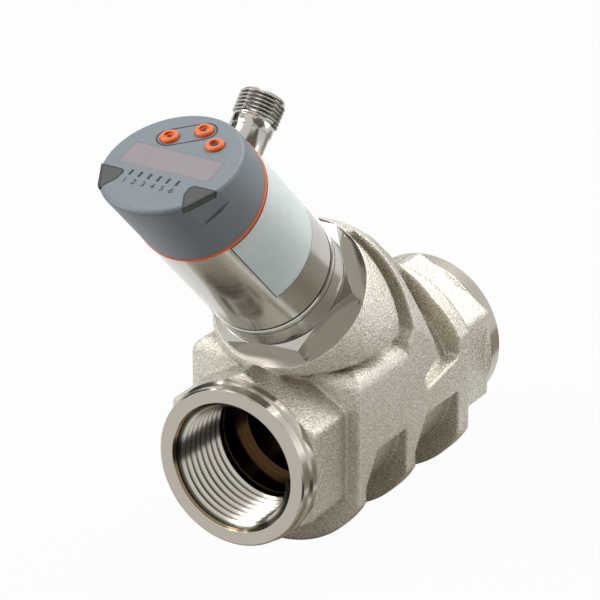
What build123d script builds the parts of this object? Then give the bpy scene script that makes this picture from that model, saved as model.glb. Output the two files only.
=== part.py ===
from build123d import *
from math import cos, radians, sin, tan
import os

os.makedirs("parts", exist_ok=True)

# An in-line flow sensor. The pipe runs along Y: the outlet face is at y = 0 and the inlet face
# at the body's length. The sensor stands on a branch that leans towards the outlet at 45 degrees.
# Distances along the branch are measured from the point where its axis leaves the pipe's axis.

# Pipe and ports, with G1 threads
body_length = 98.0
port_thread_r = 16.6
port_thread_length = 19.0
port_mouth_chamfer = 0.7
port_relief_depth = 0.5
port_relief_length = 1.4
port_wall = 4.4
port_ring_length = 3.0
port_ring_chamfer = 0.4
port_collar_step = 0.6
port_collar_length = 2.5
port_collar_taper = 1.4
port_hex_across = 41.0
port_hex_corner_r = 1.6
port_hex_ramp = 2.2
counterbore_step = 1.6
counterbore_length = 8.1
passage_r = 13.0

# Forged slab, ribs and pockets
slab_half_width = 24.5
slab_front = 21.0
slab_top = 22.0
slab_corner_r = 4.0
slab_edge_r = 4.5
rib_r = 28.0
back_rib_width = 5.0
pipe_barrel_r = 22.0
spine_half_width = 8.0
pocket_roof = -1.0
pocket_slant = 8.5
pocket_corner_r = 1.2
front_rib_back = 24.2
front_rib_top_back = 30.0
middle_rib_front = 44.5
middle_rib_back = 48.5
middle_rib_top_back = 54.0
back_rib_front = 70.5
upper_rib_front = [(44.6, 60.0), (47.3, 24.8), (45.0, slab_top)]
upper_rib_back = [(48.0, 46.0), (50.5, 34.0), (59.5, 12.8), (53.0, 9.8), (54.1, 5.6)]
upper_pocket_floor = 8.4
shoulder_border = [(5.0, 18.5), (39.5, 26.8), (40.0, 60.0)]

# Branch for the sensor
branch_foot = 64.8
branch_angle = 45.0
spot_face = 52.5
spot_face_r = 20.5
spot_cutter_r = 21.0
shoulder_start = 36.0
branch_r = 25.0
branch_root_r = 26.3
branch_barrel_r = 20.5
chamber_r = 15.5
base_thread_r = 16.5
base_thread_length = 13.5
seat_height = 8.0
seat_wall = 5.0
seat_bore_r = 10.5

# Sensor base, screwed into the branch
flange_corner_r = 19.8
flange_turn = 6.0
flange_height = 7.0
flange_chamfer = 0.6
flange_crown = 1.6
spigot_length = 11.5
spigot_gap = 0.05
spigot_chamfer = 1.0
spigot_relief_depth = 1.2
spigot_relief_height = 1.8
collar_r = 17.35
collar_height = 8.1
collar_neck_height = 0.9
collar_groove_height = 0.5
collar_groove_depth = 0.5
collar_rim_height = 1.4
collar_chamfer = 0.3
journal_r = 14.6
journal_height = 9.9
journal_chamfer = 0.5
journal_cavity_r = 11.0
journal_cavity_depth = 15.5

# Measuring piston on its guide tube
piston_travel = 9.0
piston_disc_r = 12.6
piston_disc_height = 3.0
piston_disc_chamfer = 0.5
piston_nose_height = 3.0
piston_nose_r = 3.0
piston_crown = 1.5
piston_seat_gap = 0.05
nose_gap = 0.4
sleeve_wall = 0.8
sleeve_stop_gap = 2.8
guide_r = 3.5
guide_wall = 0.6
guide_gap = 0.06
guide_end_gap = 1.5
guide_end_chamfer = 0.8
guide_flange_width = 2.5
guide_flange_height = 1.4
sensing_board_width = 4.0
sensing_board_thickness = 0.8
sensing_chip_width = 2.4
sensing_chip_thickness = 1.0
sensing_chip_length = 3.0
sensing_chip_pitch = 6.0
sensing_chip_count = 3
magnet_height = 8.0
magnet_thickness = 1.7
magnet_inner_wall = 0.94
magnet_cap_height = 1.2
spring_wire_r = 0.6
spring_mean_r = 8.5
spring_turns = 6.0
spring_side_gap = 0.4
spring_pocket_depth = 4.0

# Swivelling head
head_r = 17.0
head_wall = 1.5
tube_length = 41.4
bush_flange_height = 0.54
bush_flange_step = 0.6
bush_length = 6.8
swivel_gap = 0.06
retaining_ring_height = 1.05
retaining_ring_width = 1.3
retaining_ring_gap = 0.1
retaining_ring_opening = 3.0
retaining_groove_depth = 0.7
swivel_seal_width = 1.34
swivel_seal_height = 1.4
swivel_seal_gap = 0.2
swivel_seal_place = 3.8
seal_gap = 0.02
seal_ring_height = 1.3
seal_ring_step = 0.15
cap_spigot_length = 3.8
cap_wall = 2.4
face_rise = 17.1
face_tilt = 28.8
face_thickness = 2.5
face_edge_r = 1.0

# Operating face, measured on the face from its centre, with y towards the connector
window_width = 25.4
window_depth = 8.4
window_centre = (-0.3, 0.8)
window_thickness = 1.0
window_ledge = 1.0
button_down_place = (-5.8, 8.9)
button_up_place = (1.0, 13.8)
button_set_place = (6.5, 9.6)
button_r = 2.3
button_gap = 0.08
button_height = 0.9
button_chamfer = 0.35
button_seat_gap = 0.02
button_dish_r = 1.25
button_dish_depth = 0.5
button_flange_r = 3.2
button_flange_height = 0.8
button_travel = 0.5
indicator_count = 6
indicator_pitch = 2.6
indicator_width = 0.7
indicator_length = 2.1
indicator_centre = (-0.9, -6.0)
lens_outline = [(8.9, -5.4), (9.3, -9.4), (12.2, -15.2), (20.6, -15.2), (17.6, -5.4)]
lens_corner_r = 1.6
lens_depth = 2.0
lens_rim_step = 0.1
facet_angle = 29.0
facet_recess = 0.55
facet_drop = 4.0
facet_width = 12.0
module_height = 4.0
module_side_gap = 0.5
board_thickness = 1.6
board_gap = 0.2
switch_size = 4.5
switch_height = 2.2
plunger_r = 1.2
plunger_gap = 0.05
main_board_rise = 19.8

# M12 connector on the head's upper side
connector_drop = 9.3
connector_end = 31.7
connector_thread_r = 6.0
connector_thread_length = 7.1
connector_thread_chamfer = 0.5
connector_barrel_r = 5.15
connector_ring_height = 2.3
connector_ring_step = 0.25
connector_ring_gap = 0.2
connector_bore_r = 4.3
connector_foot_r = 6.3
connector_foot_depth = 4.5
insert_length = 11.5
insert_depth = 6.0
pin_r = 0.5
pin_circle_r = 2.6
pin_depth = 1.0
pin_tail = 2.5
pin_count = 4

# Blank label round the tube
label_thickness = 0.12
label_height = 28.9
label_edge_gap = 0.2
label_start_angle = -40.0
label_end_angle = 68.0

# How far a form runs into the one that it is fused with, or past the one that it cuts
overlap = 1.0

# Places along the branch that follow from the sizes
spigot_end = spot_face - spigot_length
flange_top = spot_face + flange_height
collar_top = flange_top + collar_height
journal_top = collar_top + journal_height
cavity_floor = journal_top - journal_cavity_depth
tube_start = collar_top + swivel_gap + bush_flange_height
tube_end = tube_start + tube_length
bush_top = tube_start + bush_length
cap_start = tube_end + seal_ring_height
face_centre = cap_start + face_rise
connector_place = tube_end - connector_drop
main_board_place = tube_start + main_board_rise

# Frames
pipe_axis = Axis((0, 0, 0), (0, 1, 0))
mid_plane = Plane(origin=(0, body_length / 2, 0), z_dir=(0, 1, 0))
head_foot = Vector(0, branch_foot, 0)
head_direction = Vector(0, -cos(radians(branch_angle)), sin(radians(branch_angle)))
head_axis = Axis(head_foot, head_direction)


def pipe_plane(distance):
    """A plane across the pipe, facing the inlet."""
    return Plane(origin=(0, distance, 0), x_dir=(1, 0, 0), z_dir=(0, 1, 0))


def head_plane(height):
    """A plane across the branch, facing the display."""
    return Plane(origin=head_foot + head_direction * height, x_dir=(1, 0, 0), z_dir=head_direction)


# The half section of anything turned about the branch axis: x runs along it, y is the radius
head_section = Plane(origin=head_foot, x_dir=head_direction, z_dir=(1, 0, 0))
connector_direction = head_plane(0).y_dir
face_normal = (head_direction * cos(radians(face_tilt))
               + connector_direction * sin(radians(face_tilt)))


def face_plane(depth):
    """A plane parallel to the operating face, at a depth below it."""
    origin = head_foot + head_direction * face_centre - face_normal * depth
    return Plane(origin=origin, x_dir=(1, 0, 0), z_dir=face_normal)


connector_origin = head_foot + head_direction * connector_place
connector_axis = Axis(connector_origin, connector_direction)
connector_section = Plane(origin=connector_origin, x_dir=connector_direction, z_dir=(1, 0, 0))


def connector_plane(distance):
    """A plane across the connector, facing its open end."""
    origin = connector_origin + connector_direction * distance
    return Plane(origin=origin, x_dir=(1, 0, 0), z_dir=connector_direction)


# Measuring body

hex_r = port_hex_across / 2
hex_end = slab_front + overlap
port_ring_r = port_thread_r + port_wall
port_collar_r = port_ring_r + port_collar_step
port_collar_end = port_ring_length + port_collar_length
with BuildPart() as port_end:
    with BuildSketch(pipe_plane(port_ring_length)):
        RegularPolygon(hex_r, 6, major_radius=False, rotation=30)
        fillet(vertices(), port_hex_corner_r)
    extrude(amount=hex_end - port_ring_length)
    with BuildSketch(Plane.YZ):
        with BuildLine():
            Polyline(
                (port_ring_length, 0),
                (port_ring_length, port_ring_r),
                (port_collar_end, port_ring_r),
                (port_collar_end + port_hex_ramp, port_hex_across),
                (hex_end, port_hex_across),
                (hex_end, 0),
                close=True,
            )
        make_face()
    revolve(axis=pipe_axis, mode=Mode.INTERSECT)
    with BuildSketch(Plane.YZ):
        with BuildLine():
            Polyline(
                (0, 0),
                (0, port_ring_r - port_ring_chamfer),
                (port_ring_chamfer, port_ring_r),
                (port_ring_length, port_ring_r),
                (port_ring_length + port_collar_step, port_collar_r),
                (port_collar_end, port_collar_r),
                (port_collar_end + port_collar_taper, hex_r),
                (port_collar_end + port_collar_taper, 0),
                close=True,
            )
        make_face()
    revolve(axis=pipe_axis)

port_relief_end = port_thread_length + port_relief_length
with BuildPart() as port_bores:
    with BuildSketch(Plane.YZ):
        with BuildLine():
            Polyline(
                (0, 0),
                (0, port_thread_r + port_mouth_chamfer),
                (port_mouth_chamfer, port_thread_r),
                (port_thread_length, port_thread_r),
                (port_thread_length, port_thread_r + port_relief_depth),
                (port_relief_end, port_thread_r + port_relief_depth),
                (port_relief_end, 0),
                close=True,
            )
        make_face()
    revolve(axis=pipe_axis)
    mirror(about=mid_plane)

with BuildPart() as outlet_passage:
    with BuildSketch(pipe_plane(port_thread_length)):
        Circle(port_thread_r - counterbore_step)
    extrude(amount=port_relief_length + counterbore_length)
    with BuildSketch(pipe_plane(port_thread_length)):
        Circle(passage_r)
    extrude(amount=branch_foot - port_thread_length)
    split(bisect_by=head_plane(seat_height), keep=Keep.TOP)

with BuildPart() as inlet_passage:
    with BuildSketch(pipe_plane(slab_front)):
        Circle(passage_r)
    extrude(amount=body_length - port_thread_length - slab_front)
    split(bisect_by=head_plane(seat_height - seat_wall), keep=Keep.BOTTOM)

base_thread_start = spot_face - base_thread_length
with BuildPart() as branch_chamber:
    with BuildSketch(head_section):
        with BuildLine():
            Polyline(
                (0, 0),
                (0, seat_bore_r),
                (seat_height, seat_bore_r),
                (seat_height, chamber_r),
                (base_thread_start, chamber_r),
                (base_thread_start, base_thread_r),
                (spot_face, base_thread_r),
                (spot_face, 0),
                close=True,
            )
        make_face()
    revolve(axis=head_axis)

# Each pocket is seen from the side, as an outline in y and z. The pockets are cut in from both
# flat sides, down to the barrels and to a spine along the middle. The space under the shoulder
# goes right across.
rib_foot = -rib_r - overlap
under_shoulder = [
    *shoulder_border[:2],
    upper_rib_front[-1],
    (upper_rib_front[-1][0], rib_foot),
    (shoulder_border[0][0], rib_foot),
]
branch_pocket = [
    *shoulder_border,
    *upper_rib_front,
    (slab_front, slab_top),
    (slab_front, rib_foot),
    (shoulder_border[0][0], rib_foot),
]
upper_pocket = [
    *upper_rib_back,
    (back_rib_front, upper_pocket_floor),
    (back_rib_front, upper_rib_back[0][1]),
]
lower_front_pocket = [
    (front_rib_top_back, pocket_roof),
    (middle_rib_front, pocket_roof),
    (middle_rib_front, rib_foot),
    (front_rib_back, rib_foot),
    (front_rib_back, pocket_roof - pocket_slant),
]
lower_back_pocket = [
    (middle_rib_top_back, pocket_roof),
    (back_rib_front, pocket_roof),
    (back_rib_front, rib_foot),
    (middle_rib_back, rib_foot),
    (middle_rib_back, pocket_roof - pocket_slant),
]

with BuildPart() as slab:
    with BuildSketch(Plane.YZ):
        with BuildLine():
            Polyline(
                (slab_front, 0),
                (slab_front, slab_top),
                (back_rib_front, slab_top),
                (back_rib_front, 0),
                close=True,
            )
        make_face()
        fillet(vertices().group_by(Axis.Y)[-1].sort_by(Axis.X)[0], slab_corner_r)
    extrude(amount=slab_half_width, both=True)
    with BuildSketch(pipe_plane(slab_front)):
        Rectangle(2 * slab_half_width, slab_top, align=(Align.CENTER, Align.MAX))
        fillet(vertices().group_by(Axis.Y)[0], slab_edge_r)
    extrude(amount=back_rib_front - slab_front, mode=Mode.INTERSECT)

rib_back = back_rib_front + back_rib_width
with BuildPart() as rib_blank:
    with BuildSketch(pipe_plane(slab_front)):
        Circle(rib_r)
    extrude(amount=rib_back - slab_front)
    with BuildSketch(pipe_plane(slab_front)):
        Rectangle(2 * rib_r, rib_r, align=(Align.CENTER, Align.MAX))
    extrude(amount=middle_rib_front - slab_front, mode=Mode.SUBTRACT)

with BuildPart() as forging:
    with BuildSketch(head_section):
        with BuildLine():
            barrel = Line((0, branch_root_r), (shoulder_start, branch_r))
            shoulder = TangentArc(barrel @ 1, (spot_face, spot_face_r), tangent=barrel % 1)
            Polyline(shoulder @ 1, (spot_face, 0), (0, 0), barrel @ 0)
        make_face()
    revolve(axis=head_axis)
    with BuildSketch(Plane.YZ):
        with BuildLine():
            Polyline(*under_shoulder, close=True)
        make_face()
    extrude(amount=branch_root_r, both=True, mode=Mode.SUBTRACT)
    add(rib_blank.part)
    add(slab.part)
    with BuildSketch(Plane.YZ):
        with BuildLine():
            Polyline(
                (0, rib_foot),
                (0, body_length),
                (rib_back, body_length),
                (rib_back, rib_foot),
                close=True,
            )
        make_face()
    extrude(amount=slab_half_width, both=True, mode=Mode.INTERSECT)
    pocket_depth = slab_half_width - spine_half_width + overlap
    for side in (1, -1):
        for outline in (branch_pocket, upper_pocket, lower_front_pocket, lower_back_pocket):
            with BuildSketch(Plane.YZ.offset(side * spine_half_width)):
                with BuildLine():
                    Polyline(*outline, close=True)
                make_face()
                fillet(vertices(), pocket_corner_r)
            extrude(amount=side * pocket_depth, mode=Mode.SUBTRACT)

with BuildPart() as measuring_body:
    add(forging.part)
    with BuildSketch(pipe_plane(slab_front)):
        Circle(pipe_barrel_r)
    extrude(amount=body_length - 2 * slab_front)
    with BuildSketch(head_plane(0)):
        Circle(branch_barrel_r)
    extrude(amount=spot_face)
    add(port_end.part)
    add(mirror(port_end.part, about=mid_plane))
    with BuildSketch(head_plane(spot_face)):
        Circle(spot_cutter_r)
    extrude(amount=spot_face, mode=Mode.SUBTRACT)
    add(port_bores.part, mode=Mode.SUBTRACT)
    add(outlet_passage.part, mode=Mode.SUBTRACT)
    add(inlet_passage.part, mode=Mode.SUBTRACT)
    add(branch_chamber.part, mode=Mode.SUBTRACT)

# Sensor base with its hexagon flange, threaded spigot and swivel journal

spigot_r = base_thread_r - spigot_gap
spigot_neck_r = spigot_r - spigot_relief_depth
collar_neck_r = collar_r - collar_groove_depth
collar_neck_top = flange_top + collar_neck_height
collar_groove_top = collar_top - collar_rim_height
collar_groove_bottom = collar_groove_top - collar_groove_height
swivel_seal_middle = collar_top + swivel_seal_place
swivel_groove_half = swivel_seal_height / 2 + swivel_seal_gap
swivel_groove_r = journal_r + swivel_gap - seal_gap - swivel_seal_width
ring_groove_bottom = bush_top + swivel_gap
ring_groove_top = ring_groove_bottom + retaining_ring_height + 2 * retaining_ring_gap
ring_groove_r = journal_r - retaining_groove_depth
spring_pocket_outer = spring_mean_r + spring_wire_r + spring_side_gap
spring_pocket_inner = spring_mean_r - spring_wire_r - spring_side_gap
with BuildPart() as sensor_base:
    with BuildSketch(head_plane(spot_face)):
        RegularPolygon(flange_corner_r, 6, rotation=flange_turn)
    extrude(amount=flange_height)
    with BuildSketch(head_section):
        with BuildLine():
            Polyline(
                (spot_face, 0),
                (spot_face, flange_corner_r - flange_chamfer),
                (spot_face + flange_chamfer, flange_corner_r),
                (flange_top - flange_crown, flange_corner_r),
                (flange_top, collar_r),
                (flange_top, 0),
                close=True,
            )
        make_face()
    revolve(axis=head_axis, mode=Mode.INTERSECT)
    with BuildSketch(head_section):
        with BuildLine():
            Polyline(
                (spigot_end, guide_r),
                (spigot_end, spigot_r - spigot_chamfer),
                (spigot_end + spigot_chamfer, spigot_r),
                (spot_face - spigot_relief_height, spigot_r),
                (spot_face - spigot_relief_height, spigot_neck_r),
                (flange_top, spigot_neck_r),
                (flange_top, collar_neck_r),
                (collar_neck_top, collar_neck_r),
                (collar_neck_top, collar_r),
                (collar_groove_bottom, collar_r),
                (collar_groove_bottom, collar_neck_r),
                (collar_groove_top, collar_neck_r),
                (collar_groove_top, collar_r),
                (collar_top - collar_chamfer, collar_r),
                (collar_top, collar_r - collar_chamfer),
                (collar_top, journal_r),
                (swivel_seal_middle - swivel_groove_half, journal_r),
                (swivel_seal_middle - swivel_groove_half, swivel_groove_r),
                (swivel_seal_middle + swivel_groove_half, swivel_groove_r),
                (swivel_seal_middle + swivel_groove_half, journal_r),
                (ring_groove_bottom, journal_r),
                (ring_groove_bottom, ring_groove_r),
                (ring_groove_top, ring_groove_r),
                (ring_groove_top, journal_r),
                (journal_top - journal_chamfer, journal_r),
                (journal_top, journal_r - journal_chamfer),
                (journal_top, journal_cavity_r),
                (cavity_floor, journal_cavity_r),
                (cavity_floor, guide_r),
                close=True,
            )
        make_face()
    revolve(axis=head_axis)
    with BuildSketch(head_plane(cavity_floor)):
        Circle(journal_cavity_r)
    extrude(amount=journal_cavity_depth, mode=Mode.SUBTRACT)
    with BuildSketch(head_plane(spigot_end)):
        Circle(guide_r)
    extrude(amount=cavity_floor - spigot_end, mode=Mode.SUBTRACT)
    with BuildSketch(head_plane(spigot_end)):
        Circle(spring_pocket_outer)
        Circle(spring_pocket_inner, mode=Mode.SUBTRACT)
    extrude(amount=spring_pocket_depth, mode=Mode.SUBTRACT)

# Sealing ring in the relief above the spigot's thread
with BuildPart() as base_seal:
    with BuildSketch(head_plane(spot_face - spigot_relief_height + seal_gap)):
        Circle(base_thread_r - seal_gap)
        Circle(spigot_neck_r + seal_gap, mode=Mode.SUBTRACT)
    extrude(amount=spigot_relief_height - 2 * seal_gap)

# Measuring piston: a disc with a conical nose on a sleeve that slides on the guide tube

piston_seat = seat_height + piston_seat_gap
disc_top = piston_seat + piston_disc_height
piston_bore_r = guide_r + guide_gap
piston_bore_floor = disc_top + piston_crown
piston_top = spigot_end - piston_travel - sleeve_stop_gap
magnet_inner_r = piston_bore_r + magnet_inner_wall
magnet_outer_r = magnet_inner_r + magnet_thickness
magnet_bottom = piston_top - magnet_cap_height - magnet_height
sleeve_r = magnet_outer_r + sleeve_wall
with BuildPart() as piston:
    with BuildSketch(head_section):
        with BuildLine():
            Polyline(
                (piston_seat - piston_nose_height, 0),
                (piston_seat - piston_nose_height, piston_nose_r),
                (piston_seat, seat_bore_r - nose_gap),
                (piston_seat, piston_disc_r - piston_disc_chamfer),
                (piston_seat + piston_disc_chamfer, piston_disc_r),
                (disc_top, piston_disc_r),
                (disc_top, sleeve_r),
                (piston_top, sleeve_r),
                (piston_top, magnet_outer_r),
                (magnet_bottom, magnet_outer_r),
                (magnet_bottom, magnet_inner_r),
                (piston_top, magnet_inner_r),
                (piston_top, piston_bore_r),
                (piston_bore_floor, piston_bore_r),
                (piston_bore_floor, 0),
                close=True,
            )
        make_face()
    revolve(axis=head_axis)

with BuildPart() as piston_magnet:
    with BuildSketch(head_plane(magnet_bottom)):
        Circle(magnet_outer_r)
        Circle(magnet_inner_r, mode=Mode.SUBTRACT)
    extrude(amount=magnet_height)

with BuildPart() as magnet_cap:
    with BuildSketch(head_plane(piston_top - magnet_cap_height)):
        Circle(magnet_outer_r)
        Circle(magnet_inner_r, mode=Mode.SUBTRACT)
    extrude(amount=magnet_cap_height)

# Guide tube, closed at its lower end, and the sensing board inside it

guide_end = piston_bore_floor + piston_travel + guide_end_gap
guide_inner_r = guide_r - guide_wall
guide_flange_top = cavity_floor + guide_flange_height
with BuildPart() as guide_tube:
    with BuildSketch(head_section):
        with BuildLine():
            Polyline(
                (guide_end, 0),
                (guide_end, guide_r - guide_end_chamfer),
                (guide_end + guide_end_chamfer, guide_r),
                (cavity_floor, guide_r),
                (cavity_floor, guide_r + guide_flange_width),
                (guide_flange_top, guide_r + guide_flange_width),
                (guide_flange_top, guide_inner_r),
                (guide_end + guide_wall, guide_inner_r),
                (guide_end + guide_wall, 0),
                close=True,
            )
        make_face()
    revolve(axis=head_axis)

board_foot = guide_end + guide_wall
with BuildPart() as sensing_board:
    with BuildSketch(head_plane(board_foot)):
        Rectangle(sensing_board_width, sensing_board_thickness)
    extrude(amount=journal_top - board_foot)
    chip_offset = (sensing_board_thickness + sensing_chip_thickness) / 2
    for index in range(sensing_chip_count):
        with BuildSketch(head_plane(board_foot + sensing_chip_length + index * sensing_chip_pitch)):
            with Locations((0, chip_offset)):
                Rectangle(sensing_chip_width, sensing_chip_thickness)
        extrude(amount=sensing_chip_length)

# Return spring between the piston's disc and the pocket in the base
spring_bottom = disc_top + spring_wire_r
spring_top = spigot_end + spring_pocket_depth - spring_wire_r
spring_height = spring_top - spring_bottom
with BuildPart() as return_spring:
    with BuildLine():
        coil = Helix(
            spring_height / spring_turns,
            spring_height,
            spring_mean_r,
            center=head_plane(spring_bottom).origin,
            direction=head_direction,
        )
    with BuildSketch(Plane(origin=coil @ 0, x_dir=head_direction, z_dir=coil % 0)):
        RegularPolygon(spring_wire_r, 6, rotation=30)
    sweep(path=coil)

# Swivel: bearing bush in the tube, sealing ring and retaining ring on the journal

bush_r = head_r - head_wall
bush_bore_r = journal_r + swivel_gap
with BuildPart() as swivel_bush:
    with BuildSketch(head_section):
        with BuildLine():
            Polyline(
                (tube_start - bush_flange_height, bush_bore_r),
                (tube_start - bush_flange_height, head_r - bush_flange_step),
                (tube_start, head_r - bush_flange_step),
                (tube_start, bush_r),
                (bush_top, bush_r),
                (bush_top, bush_bore_r),
                close=True,
            )
        make_face()
    revolve(axis=head_axis)

with BuildPart() as swivel_seal:
    with BuildSketch(head_plane(swivel_seal_middle - swivel_seal_height / 2)):
        Circle(swivel_groove_r + swivel_seal_width)
        Circle(swivel_groove_r, mode=Mode.SUBTRACT)
    extrude(amount=swivel_seal_height)

with BuildPart() as retaining_ring:
    with BuildSketch(head_plane(ring_groove_bottom + retaining_ring_gap)):
        Circle(ring_groove_r + retaining_ring_width)
        Circle(ring_groove_r, mode=Mode.SUBTRACT)
        with Locations((0, -journal_r)):
            Rectangle(retaining_ring_opening, 2 * retaining_ring_width, mode=Mode.SUBTRACT)
    extrude(amount=retaining_ring_height)

# Housing tube, open for the connector on its upper side

with BuildPart() as housing_tube:
    with BuildSketch(head_plane(tube_start)):
        Circle(head_r)
        Circle(bush_r, mode=Mode.SUBTRACT)
    extrude(amount=tube_length)
    with BuildSketch(connector_plane(0)):
        Circle(connector_barrel_r)
    extrude(amount=head_r + overlap, mode=Mode.SUBTRACT)

with BuildPart() as seal_ring:
    with BuildSketch(head_plane(tube_end)):
        Circle(head_r + seal_ring_step)
        Circle(bush_r, mode=Mode.SUBTRACT)
    extrude(amount=seal_ring_height)
    chamfer(edges().filter_by(GeomType.CIRCLE).group_by(SortBy.RADIUS)[-1], seal_ring_step)

# Display cap, cut off at a slant by the operating face

button_places = [button_down_place, button_up_place, button_set_place]
button_names = ["button_down", "button_up", "button_set"]
indicator_places = [
    (indicator_centre[0] + (index - (indicator_count - 1) / 2) * indicator_pitch, indicator_centre[1])
    for index in range(indicator_count)
]
cap_blank_height = face_rise + head_r * tan(radians(face_tilt)) + overlap
cap_bore_r = head_r - cap_wall
with BuildPart() as cap_cavity:
    with BuildSketch(head_plane(cap_start - cap_spigot_length)):
        Circle(cap_bore_r)
    extrude(amount=cap_blank_height + cap_spigot_length)
    split(bisect_by=face_plane(face_thickness), keep=Keep.BOTTOM)

# The two flat facets below the lenses, right and left
facet_planes = []
for side in (1, -1):
    facet_normal = (Vector(side * cos(radians(facet_angle)), 0, 0)
                    - connector_direction * sin(radians(facet_angle)))
    facet_foot = (head_foot + head_direction * (face_centre - facet_drop)
                  + facet_normal * (head_r - facet_recess))
    facet_planes.append(Plane(origin=facet_foot, x_dir=head_direction, z_dir=facet_normal))


def lens_places(side):
    """The lens outline on the right for side 1, or its mirror image for side -1."""
    return [(side * x, y) for x, y in lens_outline]


with BuildPart() as display_cap:
    with BuildSketch(head_plane(cap_start)):
        Circle(head_r)
    extrude(amount=cap_blank_height)
    split(bisect_by=face_plane(0), keep=Keep.BOTTOM)
    fillet(faces().sort_by(head_axis)[-1].edges(), face_edge_r)
    with BuildSketch(head_plane(cap_start - cap_spigot_length)):
        Circle(bush_r)
    extrude(amount=cap_spigot_length)
    add(cap_cavity.part, mode=Mode.SUBTRACT)
    for plane in facet_planes:
        with BuildSketch(plane):
            Rectangle(2 * head_r, facet_width, align=(Align.MIN, Align.CENTER))
        extrude(amount=head_r, mode=Mode.SUBTRACT)
    with BuildSketch(face_plane(0)):
        with Locations(window_centre):
            Rectangle(window_width, window_depth)
    extrude(amount=-window_thickness, mode=Mode.SUBTRACT)
    with BuildSketch(face_plane(0)):
        with Locations(window_centre):
            Rectangle(window_width - 2 * window_ledge, window_depth - 2 * window_ledge)
        with Locations(*button_places):
            Circle(button_r + button_gap)
        with Locations(*indicator_places):
            Rectangle(indicator_width, indicator_length)
    extrude(amount=-face_thickness - overlap, mode=Mode.SUBTRACT)
    for side in (1, -1):
        with BuildSketch(face_plane(0)):
            with BuildLine():
                Polyline(*lens_places(side), close=True)
            make_face()
            fillet(vertices().group_by(Axis.Y)[-1].sort_by(lambda v: abs(v.X))[0], lens_corner_r)
        extrude(amount=-lens_depth, mode=Mode.SUBTRACT)

with BuildPart() as display_window:
    with BuildSketch(face_plane(window_thickness)):
        with Locations(window_centre):
            Rectangle(window_width, window_depth)
    extrude(amount=window_thickness)


# Corner lenses for the two output lamps, flush with the face and with the facets below them

def corner_lens(side, facet):
    """One lens, on the side given by its sign."""
    with BuildPart() as lens:
        with BuildSketch(face_plane(lens_depth)):
            with BuildLine():
                Polyline(*lens_places(side), close=True)
            make_face()
            fillet(vertices().group_by(Axis.Y)[-1].sort_by(lambda v: abs(v.X))[0], lens_corner_r)
        extrude(amount=lens_depth)
        with BuildSketch(head_plane(cap_start)):
            Circle(head_r - lens_rim_step)
        extrude(amount=cap_blank_height, mode=Mode.INTERSECT)
        split(bisect_by=facet, keep=Keep.BOTTOM)
    return lens.part


lens_right = corner_lens(1, facet_planes[0])
lens_left = corner_lens(-1, facet_planes[1])

# Six bar indicators in their slots

with BuildPart() as indicator_bars:
    with BuildSketch(face_plane(face_thickness)):
        with Locations(*indicator_places):
            Rectangle(indicator_width, indicator_length)
    extrude(amount=face_thickness)

# Ring buttons with a flange under the face and a dish on top

button_foot = face_thickness + button_seat_gap


def ring_button(place):
    """One push button at its place on the face."""
    with BuildPart() as button:
        with BuildSketch(face_plane(button_foot)):
            with Locations(place):
                Circle(button_flange_r)
        extrude(amount=-button_flange_height)
        with BuildSketch(face_plane(button_foot)):
            with Locations(place):
                Circle(button_r)
        extrude(amount=button_foot + button_height)
        top_edge = edges().filter_by(GeomType.CIRCLE).sort_by(Axis((0, 0, 0), face_normal))[-1]
        chamfer(top_edge, button_chamfer)
        with BuildSketch(face_plane(-button_height)):
            with Locations(place):
                Circle(button_dish_r)
        extrude(amount=-button_dish_depth, mode=Mode.SUBTRACT)
    return button.part


buttons = [ring_button(place) for place in button_places]

# Display module, the board that carries it, and the three switches under the buttons

board_top = face_thickness + module_height
with BuildPart() as display_module:
    with BuildSketch(face_plane(board_top)):
        with Locations(window_centre):
            Rectangle(window_width - 2 * module_side_gap, window_depth)
    extrude(amount=module_height)

with BuildPart() as display_board:
    with BuildSketch(head_plane(cap_start)):
        Circle(cap_bore_r - board_gap)
    extrude(amount=cap_blank_height)
    split(bisect_by=face_plane(board_top), keep=Keep.BOTTOM)
    split(bisect_by=face_plane(board_top + board_thickness), keep=Keep.TOP)

plunger_depth = button_foot + button_flange_height + button_travel + plunger_gap
with BuildPart() as key_switches:
    with BuildSketch(face_plane(board_top)):
        with Locations(*button_places):
            Rectangle(switch_size, switch_size)
    extrude(amount=switch_height)
    with BuildSketch(face_plane(board_top)):
        with Locations(*button_places):
            Circle(plunger_r)
    extrude(amount=board_top - plunger_depth)

with BuildPart() as main_board:
    with BuildSketch(head_plane(main_board_place)):
        Circle(bush_r - board_gap)
    extrude(amount=board_thickness)

# M12 connector: shell with a saddle foot on the tube's wall, insert and contact pins

connector_foot = head_r - connector_foot_depth
connector_thread_start = connector_end - connector_thread_length
connector_ring_top = connector_thread_start - connector_ring_gap
connector_ring_r = connector_barrel_r + connector_ring_step
with BuildPart() as foot_blank:
    with BuildSketch(connector_plane(connector_foot)):
        Circle(connector_foot_r)
    extrude(amount=connector_foot_depth)
    with BuildSketch(head_plane(connector_place - connector_foot_r - overlap)):
        Circle(bush_r)
    extrude(amount=2 * (connector_foot_r + overlap), mode=Mode.INTERSECT)

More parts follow.
